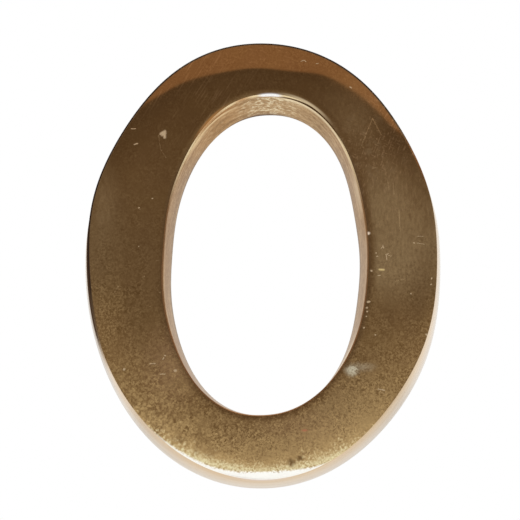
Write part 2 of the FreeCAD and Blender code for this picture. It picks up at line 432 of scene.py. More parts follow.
# The face's marks, (x, z, run_x, run_z, half_width) in mm: a chip at the upper left with nicks
# and sharp little scratches round the face, scratches so shallow that they only catch a
# little light, and one fleck that still shines
DEEP_NICKS = (
    (-22.6, 27.3, 0.9, 0.6, 0.5), (-22.2, 27.1, 0.5, 0.4, 0.6), (-21.8, 27.4, 0.1, -0.9, 0.5),
    (-29.3, 28.7, 1.0, 0.0, 0.16), (-24.2, 12.0, 0.1, 0.0, 0.2), (-27.1, 9.9, 0.1, 0.0, 0.2),
    (-28.5, 24.9, 0.7, 0.15, 0.22), (-29.4, -26.5, 0.1, 0.1, 0.3), (-18.5, -26.8, 0.2, 0.0, 0.35),
    (-20.7, -23.5, 0.1, 0.0, 0.2), (23.1, 3.5, 0.4, 0.2, 0.4), (23.8, -4.9, 0.1, 0.0, 0.3),
    (26.45, 0.9, 0.15, -0.7, 0.13), (26.4, 0.6, -0.3, -0.5, 0.11), (27.0, -1.3, 0.6, 0.3, 0.13),
    (27.1, -1.5, 0.15, -0.9, 0.14), (27.3, -1.3, 0.9, -0.3, 0.08), (24.9, -0.9, 0.05, 0.0, 0.2),
    (25.0, -1.7, 0.3, 0.1, 0.13), (33.2, 1.4, 0.1, 0.0, 0.2), (33.9, 1.35, 1.6, -0.25, 0.07),
    (34.0, 2.9, 1.3, 0.0, 0.06), (25.2, -6.0, 0.5, 0.05, 0.14), (22.9, -11.9, 0.3, 0.1, 0.35),
    (22.6, -13.2, 0.1, 0.0, 0.28), (22.7, -14.0, 0.05, 0.0, 0.25), (22.5, -15.1, 0.05, 0.0, 0.2),
    (21.9, -17.6, 0.05, 0.0, 0.25), (36.8, -6.7, 0.1, 0.2, 0.2), (36.6, -8.0, 0.1, 0.1, 0.18),
    (32.2, -10.1, 0.05, 0.05, 0.2), (20.0, 38.4, 0.3, -0.2, 0.22), (-26.9, 0.9, 0.05, 0.05, 0.15),
    (24.3, -19.2, 0.1, 0.0, 0.2), (35.2, -19.0, 0.2, -0.2, 0.22), (9.0, 44.8, 0.7, 0.3, 0.13),
    (9.8, 45.1, 0.3, -0.4, 0.12), (12.4, 44.2, 0.5, 0.1, 0.12), (24.6, -30.9, 1.4, -0.3, 0.14),
    (-23.9, -25.3, 1.2, 0.1, 0.13), (-21.1, -24.3, 0.2, 0.4, 0.13), (-21.6, -27.6, 1.0, 0.1, 0.13),
)
FAINT_SCRATCHES = (
    (-23.1, 27.0, 0.5, -3.4, 0.16), (-22.6, 23.6, 1.3, -2.0, 0.16), (24.9, 30.7, -2.9, -7.2, 0.16),
    (24.9, 30.7, 1.9, -4.1, 0.16), (9.0, 44.8, 0.8, 0.3, 0.2), (9.8, 45.1, 0.4, -0.4, 0.2),
    (12.4, 44.2, 0.6, 0.1, 0.2), (25.4, 21.8, 0.9, 0.2, 0.2), (24.5, 18.7, 1.1, 0.3, 0.2),
    (27.2, 23.6, 0.1, -1.2, 0.16), (27.9, 16.0, 0.2, -2.4, 0.16), (29.1, 15.2, 0.1, -2.6, 0.16),
    (29.0, -7.3, 2.0, 0.5, 0.16), (24.2, -31.3, 2.0, -0.5, 0.2), (-27.2, 9.9, 0.4, -0.4, 0.16),
    (-22.9, -2.3, 0.5, 0.1, 0.16), (-25.9, -6.1, 0.4, 0.2, 0.16), (-31.9, -9.4, 0.8, 1.3, 0.2),
    (-22.2, -9.5, 0.3, 0.1, 0.16), (-24.4, -12.7, 0.4, 0.1, 0.16), (-23.8, -25.1, 1.5, -0.4, 0.25),
    (30.2, 9.0, 0.1, -5.0, 0.14),
)
GOLD_FLECK = ((25.6, -4.65, 0.9, -0.05, 0.34),)

# Sizes of the patterns in the film, in mm. The wiped streaks are (across, deep, up), then come
# the clouds, blotches and patches of speckle, the worn blobs and the speckle, and the noise
# that shakes their outlines with its reach. The speckle's real grains are too fine to show,
# so they are drawn two pixels wide
WIPED_STREAK = (0.588, 1.0, 1.667)
CLOUD_WIDTH, BLOTCH_WIDTH, PATCH_WIDTH = 9.09, 2.22, 3.57
BLOB_WIDTH, SPECKLE_WIDTH = 0.833, 0.455
WOBBLE_WIDTH, WOBBLE_REACH = 0.667, 1.2


def drawn_grain(tree, place, size, detail, roughness=0.5):
    """A noise from 0 to 1, drawn out so that its coarsest grains are (across, deep, up) mm in size."""
    drawn = add_node(tree, "ShaderNodeVectorMath", {0: place, 1: size}, operation="DIVIDE")
    return add_node(
        tree, "ShaderNodeTexNoise", {"Vector": drawn, "Scale": 1.0, "Detail": detail, "Roughness": roughness}
    )


def wiped_haze(tree, place, from_hole):
    """A mask of the grey haze where the film was wiped: most of the right side, a little elsewhere."""
    streaks = drawn_grain(tree, place, WIPED_STREAK, 5.0)
    haze = weighted_sum(tree, 0.0, [
        (soft_patch(tree, place, (31.0, 6.0), (19.0, 23.0)), 1.0),
        (soft_patch(tree, place, (26.0, 1.0), (11.0, 16.0)), 0.9),
        (soft_patch(tree, place, (20.0, 32.0), (13.0, 13.0)), 0.5),
        (soft_patch(tree, place, (-35.0, 13.0), (4.5, 12.0)), 0.45),
        (soft_patch(tree, place, (-36.0, 4.0), (8.0, 26.0)), 0.25),
        (soft_patch(tree, place, (14.0, -40.0), (26.0, 20.0)), 0.5),
    ])
    off_lip = add_node(tree, "ShaderNodeMapRange", {"Value": from_hole, "From Min": 0.9, "From Max": 2.4})
    uneven = add_node(
        tree, "ShaderNodeMapRange",
        {"Value": streaks, "From Min": 0.3, "From Max": 0.7, "To Min": 0.55, "To Max": 1.2},
    )
    haze = product(tree, haze, off_lip)
    return add_node(tree, "ShaderNodeMath", {0: haze, 1: uneven}, operation="MULTIPLY", use_clamp=True)


def polishing_lines(tree, place, turn, length, density, centre, reach):
    """A mask of fine straight lines, length mm long, turned clockwise from upright by turn degrees.

    Density is how many lines could lie side by side in one mm; only the strongest show.
    """
    angle = math.radians(-turn)
    turned = add_node(
        tree, "ShaderNodeVectorRotate", {"Vector": place, "Angle": angle}, rotation_type="Y_AXIS"
    )
    grain = drawn_grain(tree, turned, (1.0 / density, 1.0, length), 2.0)
    lines = add_node(tree, "ShaderNodeMapRange", {"Value": grain, "From Min": 0.58, "From Max": 0.72})
    return product(tree, lines, soft_patch(tree, place, centre, reach))


def film_grain(tree, place):
    """The worn film's two grains, each from -1 to 1, blobs and a speckle, and the shaken places.

    The places are shaken by a finer noise, so that nothing drawn on them has a smooth outline.
    """
    wobble = add_node(
        tree, "ShaderNodeTexNoise", {"Vector": place, "Scale": 1.0 / WOBBLE_WIDTH, "Detail": 4.0}
    )
    wobble = add_node(
        tree, "ShaderNodeVectorMath", {0: wobble.outputs["Color"], 1: (0.5, 0.5, 0.5)}, operation="SUBTRACT"
    )
    wobble = add_node(tree, "ShaderNodeVectorMath", {0: wobble, "Scale": WOBBLE_REACH}, operation="SCALE")
    shaken = add_node(tree, "ShaderNodeVectorMath", {0: place, 1: wobble}, operation="ADD")
    cells = add_node(tree, "ShaderNodeTexVoronoi", {"Vector": shaken, "Scale": 1.0 / BLOB_WIDTH})
    blobs = add_node(
        tree, "ShaderNodeMapRange",
        {"Value": cells.outputs["Distance"], "From Min": 0.72, "From Max": 0.28, "To Min": -1.0},
        interpolation_type="SMOOTHSTEP",
    )
    fine = add_node(
        tree, "ShaderNodeTexNoise",
        {"Vector": shaken, "Scale": 1.0 / SPECKLE_WIDTH, "Detail": 3.0, "Roughness": 0.7},
    )
    speckle = add_node(
        tree, "ShaderNodeMapRange", {"Value": fine, "From Min": 0.25, "From Max": 0.75, "To Min": -1.0}
    )
    return shaken, blobs, speckle


def aged_face_brass():
    """Buffed yellow brass under a brown oxide film: a dark mirror above, dull worn gold below."""
    material, tree, shader, place = new_material("aged_face_brass")
    from_edge = add_node(tree, "ShaderNodeAttribute", attribute_name="from_edge").outputs["Fac"]
    from_hole = add_node(tree, "ShaderNodeAttribute", attribute_name="from_hole").outputs["Fac"]
    split = add_node(tree, "ShaderNodeSeparateXYZ", {0: place})
    across, height = split.outputs["X"], split.outputs["Z"]
    cloud = add_node(tree, "ShaderNodeTexNoise", {"Vector": place, "Scale": 1.0 / CLOUD_WIDTH, "Detail": 4.0})
    coarse = add_node(
        tree, "ShaderNodeTexNoise",
        {"Vector": place, "Scale": 1.0 / BLOTCH_WIDTH, "Detail": 4.0, "Roughness": 0.65},
    )
    haze = wiped_haze(tree, place, from_hole)
    shaken, blobs, speckle = film_grain(tree, place)
    patchy = add_node(
        tree, "ShaderNodeTexNoise", {"Vector": place, "Scale": 1.0 / PATCH_WIDTH, "Detail": 2.0}
    )
    patchy = add_node(
        tree, "ShaderNodeMapRange",
        {"Value": patchy, "From Min": 0.35, "From Max": 0.65, "To Min": 0.55, "To Max": 1.5},
    )
    speckle = product(tree, speckle, patchy)

    # Wear thins the film towards the bottom, less so beside the hole, and most along the bottom
    # edge, where the pale colour it gives is also a painted highlight on the rolled edge. Its grain
    # is a fine speckle everywhere low down, with coarser blobs at the lower left
    low = add_node(
        tree, "ShaderNodeMapRange", {"Value": height, "From Min": -4.0, "From Max": -36.0},
        interpolation_type="SMOOTHSTEP",
    )
    thinned = add_node(
        tree, "ShaderNodeMapRange", {"Value": height, "From Min": -12.0, "From Max": -60.0, "To Max": 0.47},
        interpolation_type="SMOOTHSTEP",
    )
    hole_side = add_node(
        tree, "ShaderNodeMapRange", {"Value": from_hole, "From Min": 0.0, "From Max": 6.0, "To Min": 0.25}
    )
    thinned = product(tree, thinned, hole_side)
    near_edge = add_node(tree, "ShaderNodeMapRange", {"Value": from_edge, "From Min": 6.2, "From Max": 0.0})
    near_edge = add_node(tree, "ShaderNodeMath", {0: near_edge, 1: 2.0}, operation="POWER")
    edge_wear_and_highlight = product(tree, near_edge, soft_patch(tree, place, (-1.5, -54.0), (40.0, 38.0)))
    wear = weighted_sum(tree, thinned, [
        (edge_wear_and_highlight, 1.3), (soft_patch(tree, place, (-17.5, -26.0), (7.0, 9.0)), 0.14),
        (soft_patch(tree, place, (-37.0, -20.0), (10.0, 15.0)), -0.12),
        (soft_patch(tree, place, (2.0, -38.0), (22.0, 6.0)), -0.08),
    ])
    off_hole = add_node(
        tree, "ShaderNodeMapRange", {"Value": from_edge, "From Min": 13.0, "From Max": 5.0, "To Min": 0.15}
    )
    blob_depth = product(tree, off_hole, soft_patch(tree, place, (-25.0, -37.0), (27.0, 19.0)), 0.2)
    speckle_depth = weighted_sum(tree, 0.08, [
        (low, 0.3), (soft_patch(tree, place, (8.0, -45.0), (28.0, 12.0)), 0.14),
        (soft_patch(tree, place, (-33.0, -12.0), (12.0, 18.0)), 0.16),
    ])
    worn = add_node(tree, "ShaderNodeMath", {0: blobs, 1: blob_depth, 2: wear}, operation="MULTIPLY_ADD")
    worn = add_node(tree, "ShaderNodeMath", {0: speckle, 1: speckle_depth, 2: worn}, operation="MULTIPLY_ADD")
    gold = add_node(tree, "ShaderNodeMapRange", {"Value": worn, "From Min": 0.0, "From Max": 0.8})
    pale_and_highlight = add_node(tree, "ShaderNodeMapRange", {"Value": worn, "From Min": 0.68, "From Max": 1.2})

    # Bright bare metal along the bottom edge, about 2 mm wide, thins to a line at the left. Its
    # near-white colour is partly a painted highlight on the rolled edge
    bare_and_highlight_width = weighted_sum(tree, 0.0, [
        (soft_patch(tree, place, (-8.0, -47.0), (26.0, 16.0)), 0.4),
        (soft_patch(tree, place, (3.0, -51.0), (16.0, 9.0)), 0.78),
    ])
    ragged = add_node(tree, "ShaderNodeMath", {0: speckle, 1: 0.6, 2: 2.0}, operation="MULTIPLY_ADD")
    bare_and_highlight_width = product(tree, bare_and_highlight_width, ragged)
    bare_and_highlight = add_node(tree, "ShaderNodeMath", {0: bare_and_highlight_width, 1: from_edge}, operation="SUBTRACT")
    bare_and_highlight = add_node(tree, "ShaderNodeMapRange", {"Value": bare_and_highlight, "From Min": 0.0, "From Max": 0.45})
    blotch = add_node(
        tree, "ShaderNodeMapRange", {"Value": coarse, "From Min": 0.5, "From Max": 0.66, "To Max": 0.5}
    )
    blotch = product(tree, blotch, soft_patch(tree, place, (-14.0, -38.0), (34.0, 20.0)))

    # Dirt in the lip round the hole, and a dull dark line along the outer edge except low down
    # and at the far right, with copper showing at the upper right. The lip is rubbed bright at
    # the top of the hole, with a painted highlight there that goes to white, and warm at its upper left
    lip = add_node(tree, "ShaderNodeMapRange", {"Value": from_hole, "From Min": 1.1, "From Max": 0.3})
    lip_top = add_node(
        tree, "ShaderNodeMapRange", {"Value": height, "From Min": 32.0, "From Max": 20.0, "To Max": 0.55}
    )
    lip_low = add_node(
        tree, "ShaderNodeMapRange", {"Value": height, "From Min": -36.0, "From Max": -10.0, "To Min": 0.45}
    )
    lip = product(tree, lip, lip_top, lip_low)
    rim = add_node(tree, "ShaderNodeMapRange", {"Value": from_edge, "From Min": 0.45, "From Max": 0.25})
    rim_top = add_node(tree, "ShaderNodeMapRange", {"Value": height, "From Min": -22.0, "From Max": -8.0})
    rim_left = add_node(tree, "ShaderNodeMapRange", {"Value": across, "From Min": 36.0, "From Max": 28.0})
    copper = product(tree, rim, soft_patch(tree, place, (36.5, 23.0), (6.0, 11.0)))
    rim = product(tree, rim, rim_top, rim_left)
    lip_highlight = add_node(tree, "ShaderNodeMapRange", {"Value": from_hole, "From Min": 0.6, "From Max": 0.3})
    rubbed_lip_and_highlight = add_node(tree, "ShaderNodeMapRange", {"Value": from_hole, "From Min": 0.95, "From Max": 0.6})
    rubbed_lip_and_highlight = product(tree, rubbed_lip_and_highlight, soft_patch(tree, place, (10.5, 34.5), (9.0, 8.0)))
    lip_highlight = product(tree, lip_highlight, soft_patch(tree, place, (1.9, 36.0), (3.4, 4.0)))
    warm_lip = add_node(tree, "ShaderNodeMapRange", {"Value": from_hole, "From Min": 0.9, "From Max": 0.5})
    warm_lip = product(tree, warm_lip, soft_patch(tree, place, (-13.0, 31.5), (8.0, 8.0)))

    # Single marks: nicks, scratches, polishing lines, scuffs, a smudge and chips of the film.
    # The strokes are shaken a little, so that none is ruler straight
    nudge = add_node(tree, "ShaderNodeMix", {0: 0.2, 4: place, 5: shaken}, data_type="VECTOR")
    nicks = stroke_mask(tree, nudge.outputs[1], DEEP_NICKS)
    nicks = add_node(tree, "ShaderNodeMath", {0: nicks, 1: 1.25}, operation="MULTIPLY", use_clamp=True)
    scratches = stroke_mask(tree, nudge.outputs[1], FAINT_SCRATCHES)
    faint = add_node(
        tree, "ShaderNodeMapRange", {"Value": speckle, "From Min": -0.6, "From Max": 1.0, "To Max": 0.55}
    )
    faint = product(tree, scratches, faint)
    faint_lines = weighted_sum(tree, 0.0, [
        (polishing_lines(tree, place, 30.0, 7.7, 2.6, (-14.0, 36.0), (24.0, 20.0)), 0.42),
        (polishing_lines(tree, place, 20.0, 1.4, 3.6, (26.0, 22.0), (16.0, 20.0)), 0.75),
        (polishing_lines(tree, place, -64.0, 1.2, 3.4, (25.0, 25.0), (14.0, 16.0)), 0.7),
        (polishing_lines(tree, place, -6.0, 2.4, 3.0, (28.0, 12.0), (12.0, 16.0)), 0.5),
        (polishing_lines(tree, shaken, -80.0, 3.0, 2.6, (6.0, 47.0), (22.0, 6.0)), 0.3),
    ])
    scuffed = add_node(
        tree, "ShaderNodeMapRange", {"Value": coarse, "From Min": 0.52, "From Max": 0.66, "To Max": 0.3}
    )
    scuffed = product(tree, scuffed, soft_patch(tree, place, (24.0, 24.0), (16.0, 17.0)))
    fleck = stroke_mask(tree, place, GOLD_FLECK)
    glint = soft_patch(tree, place, (23.2, 3.65), (0.8, 0.55))
    dabs = add_node(tree, "ShaderNodeMapRange", {"Value": speckle, "From Min": -1.0, "From Max": 0.3})
    smudge = weighted_sum(tree, 0.0, [
        (soft_patch(tree, shaken, (19.1, -27.0), (2.1, 1.7)), 1.0),
        (soft_patch(tree, shaken, (21.0, -26.2), (4.5, 1.5)), 0.3),
    ])
    smudge = add_node(tree, "ShaderNodeMath", {0: smudge, 1: dabs}, operation="MULTIPLY", use_clamp=True)
    speck = soft_patch(tree, place, (9.0, -39.7), (1.0, 0.4))
    chips = weighted_sum(tree, 0.0, [
        (soft_patch(tree, shaken, (6.2, -46.4), (1.2, 1.3)), 1.0),
        (soft_patch(tree, shaken, (8.0, -45.5), (1.2, 0.8)), 1.0),
    ])

    # The film is brown to olive, lighter and darker with its speckle, and ruddy in two places
    film = add_node(
        tree, "ShaderNodeMix", {0: cloud, 6: hex_colour("#6c4e30"), 7: hex_colour("#7d6039")},
        data_type="RGBA",
    )
    mottle = add_node(
        tree, "ShaderNodeMapRange", {"Value": speckle, "From Min": -1.0, "From Max": 1.0, "To Max": 0.35}
    )
    dark_mottle = add_node(tree, "ShaderNodeMapRange", {"Value": speckle, "From Min": 0.2, "From Max": -1.0})
    dark_low = add_node(
        tree, "ShaderNodeMapRange", {"Value": height, "From Min": 20.0, "From Max": -12.0, "To Max": 0.5}
    )
    dark_low = weighted_sum(tree, dark_low, [(soft_patch(tree, place, (-33.0, -10.0), (12.0, 20.0)), 0.3)])
    dark_mottle = product(tree, dark_mottle, dark_low)
    ruddy = add_node(
        tree, "ShaderNodeMapRange",
        {"Value": coarse, "From Min": 0.4, "From Max": 0.55, "To Min": 0.35, "To Max": 0.7},
    )
    ruddy_places = weighted_sum(tree, 0.0, [
        (soft_patch(tree, place, (-19.0, -25.0), (9.0, 14.0)), 1.0),
        (soft_patch(tree, place, (8.0, -39.0), (14.0, 5.0)), 0.5),
    ])
    ruddy = product(tree, ruddy, ruddy_places)
    half_haze = product(tree, haze, 0.8)
    colour = layered_colour(tree, film.outputs[2], [
        (mottle, "#a0855c"),
        (half_haze, "#ab9168"),
        (scuffed, "#b39c78"),
        (dark_mottle, "#59401f"),
        (ruddy, "#917050"),
        (gold, "#c1a26f"),
        (blotch, "#66492b"),
        # pale worn brass, partly a painted highlight along the bottom edge
        (pale_and_highlight, "#f0e5b8"),
        (chips, "#6e5434"),
        # bare metal, its near-white colour partly a painted highlight
        (bare_and_highlight, "#fffdf6"),
        (lip, "#5c4129"),
        (rim, "#33241a"),
        (copper, "#96602f"),
        (warm_lip, "#c08a50"),
        # the rubbed lip, partly a painted highlight
        (rubbed_lip_and_highlight, "#efd9ae"),
        # a painted highlight at the top of the hole
        (lip_highlight, "#ffffff"),
        (faint_lines, "#c0a078"),
        (faint, "#cdb48c"),
        (smudge, "#dcd5ba"),
        (speck, "#b9795a"),
        (nicks, "#cbb796"),
        (fleck, "#f2dc9c"),
        (glint, "#fff0dc"),
    ])
    tree.links.new(colour, shader.inputs["Base Color"])
    matte_dirt(tree, shader, rim)
    roughness = weighted_sum(tree, 0.05, [
        (haze, 0.1), (low, 0.15), (gold, 0.15), (bare_and_highlight, -0.3), (nicks, 0.4), (scratches, 0.2), (fleck, 0.2),
        (rim, 0.8),
    ])
    tree.links.new(roughness.outputs[0], shader.inputs["Roughness"])
    film_relief = 0.004 * TO_METRES
    bump = add_node(tree, "ShaderNodeBump", {"Height": speckle, "Strength": low, "Distance": film_relief})
    tree.links.new(bump.outputs[0], shader.inputs["Normal"])
    return material


def soft_band(tree, value, start, full, empty):
    """A mask along a rising value: it grows to 1 between start and full, then fades to 0 at empty."""
    grows = add_node(tree, "ShaderNodeMapRange", {"Value": value, "From Min": start, "From Max": full})
    fades = add_node(tree, "ShaderNodeMapRange", {"Value": value, "From Min": empty, "From Max": full})
    return product(tree, grows, fades)


# The file's streaks and the marks of its chatter on the walls, (across, deep, up) in mm
FILE_STREAK = (14.29, 0.769, 14.29)
CHATTER_MARK = (1.111, 0.5, 1.111)


def filed_wall_brass(name, front_code, back_code, unevenness):
    """A side wall as the file left it: streaks along the wall, and another colour towards the back.

    The unevenness says how strongly the streaks show, from 0 to 1. The depth that comes back
    with the streaks runs from -8 mm at the face to 0 at the back.
    """
    material, tree, shader, place = new_material(name)
    depth = add_node(tree, "ShaderNodeSeparateXYZ", {0: place}).outputs["Y"]
    rise = add_node(tree, "ShaderNodeMapRange", {"Value": depth, "From Min": -7.0, "From Max": -0.6})
    ground = add_node(
        tree, "ShaderNodeMix", {0: rise, 6: hex_colour(front_code), 7: hex_colour(back_code)},
        data_type="RGBA",
    )
    streak = drawn_grain(tree, place, FILE_STREAK, 5.0, 0.6)
    dark_streak = add_node(
        tree, "ShaderNodeMapRange", {"Value": streak, "From Min": 0.5, "From Max": 0.3, "To Max": unevenness}
    )
    light_streak = add_node(
        tree, "ShaderNodeMapRange", {"Value": streak, "From Min": 0.5, "From Max": 0.7, "To Max": unevenness}
    )
    return material, tree, shader, place, depth, ground.outputs[2], streak, dark_streak, light_streak


def outer_wall_brass():
    """The outer wall: fine filed and polished, golden beside the face and pale towards the door.

    It gives a soft satin sheen. Dull dark dirt sits on it beside the face at the left, its foot
    is grey there, and it is mauve below the bare edge.
    """
    material, tree, shader, place, depth, ground, streak, dark_streak, light_streak = filed_wall_brass(
        "outer_wall_brass", "#debd8d", "#e2d8cb", 0.3
    )
    dirt_depth = add_node(tree, "ShaderNodeMapRange", {"Value": depth, "From Min": -3.0, "From Max": -6.0})
    dirt = product(tree, dirt_depth, soft_patch(tree, place, (-44.0, -5.0), (18.0, 32.0)))
    dirt = add_node(tree, "ShaderNodeMath", {0: dirt, 1: 3.5}, operation="MULTIPLY", use_clamp=True)
    mauve = add_node(tree, "ShaderNodeMapRange", {"Value": depth, "From Min": -6.0, "From Max": -7.4})
    mauve = product(tree, mauve, soft_patch(tree, place, (0.0, -52.0), (10.0, 8.0)))
    grey_foot = add_node(
        tree, "ShaderNodeMapRange", {"Value": depth, "From Min": -5.5, "From Max": -3.0, "To Max": 0.9}
    )
    grey_foot = product(tree, grey_foot, soft_patch(tree, place, (-40.0, -20.0), (15.0, 24.0)))
    colour = layered_colour(tree, ground, [
        (dark_streak, "#bd9c76"),
        (light_streak, "#f0e4d0"),
        (grey_foot, "#b0a08e"),
        (mauve, "#e6d8d8"),
        (dirt, "#4a3626"),
    ])
    tree.links.new(colour, shader.inputs["Base Color"])
    matte_dirt(tree, shader, dirt)
    roughness = weighted_sum(tree, 0.25, [(dirt, 0.6)])
    tree.links.new(roughness.outputs[0], shader.inputs["Roughness"])
    bump = add_node(tree, "ShaderNodeBump", {"Height": streak, "Strength": 0.6, "Distance": 0.04 * TO_METRES})
    tree.links.new(bump.outputs[0], shader.inputs["Normal"])
    return material


def hole_wall_brass():
    """The hole's wall: coarser filed and tan, with chatter marks at the top and dirt at its back.

    It gives a broken satin sheen, paler towards the top. Its rounded front edge is rubbed
    bright at the top, with a painted highlight there that goes to white, and browned by the film lower down.
    """
    material, tree, shader, place, depth, ground, streak, dark_streak, light_streak = filed_wall_brass(
        "hole_wall_brass", "#956c41", "#967b63", 0.6
    )
    split = add_node(tree, "ShaderNodeSeparateXYZ", {0: place})
    across, height = split.outputs["X"], split.outputs["Z"]
    top = soft_patch(tree, place, (3.0, 37.0), (26.0, 27.0))
    upper_left = soft_patch(tree, place, (-12.0, 34.0), (12.0, 20.0))
    grain = drawn_grain(tree, place, CHATTER_MARK, 4.0, 0.7)
    dark_grain = add_node(
        tree, "ShaderNodeMapRange", {"Value": grain, "From Min": 0.5, "From Max": 0.36, "To Max": 0.35}
    )
    light_grain = add_node(
        tree, "ShaderNodeMapRange", {"Value": grain, "From Min": 0.52, "From Max": 0.68, "To Max": 0.45}
    )
    chatter = add_node(tree, "ShaderNodeMapRange", {"Value": grain, "From Min": 0.5, "From Max": 0.6})
    chatter = product(tree, chatter, soft_patch(tree, place, (2.0, 37.0), (11.0, 6.0)))
    # Painted light: the front of the wall is lighter at the lower right and the right, as if lit there
    painted_light_front = add_node(tree, "ShaderNodeMapRange", {"Value": depth, "From Min": -3.0, "From Max": -6.0})
    painted_light_places = weighted_sum(tree, 0.0, [
        (soft_patch(tree, place, (17.5, -24.0), (7.0, 10.0)), 0.9),
        (soft_patch(tree, place, (12.5, -31.0), (5.0, 5.0)), 1.0),
        (soft_patch(tree, place, (21.5, 14.0), (6.0, 8.0)), 0.5),
    ])
    painted_light_front = product(tree, painted_light_front, painted_light_places)

    # Dirt lies towards the back edge, thicker lower down, with a dark line at the very edge on top
    back_dirt = add_node(tree, "ShaderNodeMapRange", {"Value": depth, "From Min": -1.6, "From Max": -0.3})
    back_low = add_node(
        tree, "ShaderNodeMapRange",
        {"Value": height, "From Min": 28.0, "From Max": 22.0, "To Min": 0.2, "To Max": 0.7},
    )
    back_low = weighted_sum(tree, back_low, [
        (soft_patch(tree, place, (0.0, 37.0), (8.0, 8.0)), 0.7),
        (soft_patch(tree, place, (24.0, 0.0), (8.0, 15.0)), 0.5),
        (soft_patch(tree, place, (-21.0, 4.0), (8.0, 15.0)), -0.5),
    ])
    back_dirt = product(tree, back_dirt, back_low)
    back_line = add_node(tree, "ShaderNodeMapRange", {"Value": depth, "From Min": -0.8, "From Max": -0.45})
    back_line = product(tree, back_line, soft_patch(tree, place, (-1.0, 38.0), (15.0, 12.0)))

    # A line scored behind the front edge at the upper right, drawn as painted shade in its groove,
    # runs out to it further down, and a bright band follows it. At the upper left are a fainter
    # line of painted shade and a wider band
    right_slope = add_node(tree, "ShaderNodeMath", {0: across, 1: 0.045, 2: depth}, operation="MULTIPLY_ADD")
    right_reach = add_node(tree, "ShaderNodeMapRange", {"Value": across, "From Min": 3.0, "From Max": 5.5})
    right_top = add_node(tree, "ShaderNodeMapRange", {"Value": height, "From Min": 14.0, "From Max": 24.0})
    right_reach = product(tree, right_reach, right_top)
    right_groove_shade = weighted_sum(tree, 0.0, [(soft_band(tree, right_slope, -7.5, -7.25, -6.98), 2.0)])
    right_groove_shade = product(tree, right_groove_shade, right_reach)
    right_band = product(tree, soft_band(tree, right_slope, -7.05, -6.85, -5.8), right_reach)
    left_slope = add_node(tree, "ShaderNodeMath", {0: across, 1: -0.15, 2: depth}, operation="MULTIPLY_ADD")
    left_reach = weighted_sum(tree, 0.0, [(soft_patch(tree, place, (-12.5, 31.0), (9.5, 13.0)), 1.6)])
    left_groove_shade = product(tree, soft_band(tree, left_slope, -6.0, -5.75, -5.45), left_reach)
    left_band = product(tree, soft_band(tree, left_slope, -5.5, -5.15, -4.6), left_reach)
    left_tail = soft_band(tree, left_slope, -5.3, -5.0, -3.2)
    left_tail = product(tree, left_tail, soft_patch(tree, place, (-15.5, 27.5), (5.0, 9.0)))

    # The rounded front edge: browned, rubbed bright towards the top with a painted highlight at the very top,
    # dull at the upper left
    front_edge = add_node(tree, "ShaderNodeMapRange", {"Value": depth, "From Min": -7.45, "From Max": -7.6})
    rubbed_and_highlight = add_node(tree, "ShaderNodeMapRange", {"Value": height, "From Min": 10.0, "From Max": 24.0})
    rubbed_and_highlight = product(tree, front_edge, rubbed_and_highlight)
    dulled = weighted_sum(tree, 0.0, [
        (soft_patch(tree, place, (-13.0, 31.0), (7.5, 8.0)), 0.95),
        (soft_patch(tree, place, (-4.6, 36.5), (3.2, 4.0)), 0.9),
    ])
    dulled = product(tree, front_edge, dulled)
    # A white painted highlight at the top of the front edge
    edge_highlight = weighted_sum(tree, 0.0, [(soft_patch(tree, place, (1.9, 36.5), (3.4, 6.0)), 2.0)])
    edge_highlight_depth = add_node(tree, "ShaderNodeMapRange", {"Value": depth, "From Min": -7.3, "From Max": -7.55})
    edge_highlight = product(tree, edge_highlight_depth, edge_highlight)
    colour = layered_colour(tree, ground, [
        (top, "#c0a078"),
        (upper_left, "#be9363"),
        (dark_streak, "#80603f"),
        (light_streak, "#cbad84"),
        (dark_grain, "#74553a"),
        (light_grain, "#dcc29a"),
        (painted_light_front, "#dcc8a8"),
        (chatter, "#f0e2c0"),
        (back_dirt, "#776259"),
        (back_line, "#54423c"),
        (right_band, "#f2e0bc"),
        (left_groove_shade, "#a06c3e"),
        (left_tail, "#f0d4a6"),
        (left_band, "#f2d6a8"),
        (front_edge, "#876443"),
        (rubbed_and_highlight, "#efd9ae"),
        (dulled, "#bd8a58"),
        (right_groove_shade, "#4a3018"),
        (edge_highlight, "#ffffff"),
    ])
    tree.links.new(colour, shader.inputs["Base Color"])
    shader.inputs["Roughness"].default_value = 0.3
    shader.inputs["Specular Tint"].default_value = hex_colour("#fcf4e8")
    relief = weighted_sum(tree, streak, [(chatter, 0.3)])
    bump = add_node(tree, "ShaderNodeBump", {"Height": relief, "Strength": 0.7, "Distance": 0.06 * TO_METRES})
    tree.links.new(bump.outputs[0], shader.inputs["Normal"])
    return material


# The belt's lines on the back, (across, deep, up), and the clouds of tarnish on it, in mm
BELT_LINE = (0.4, 2.0, 16.67)
TARNISH_WIDTH = 8.33


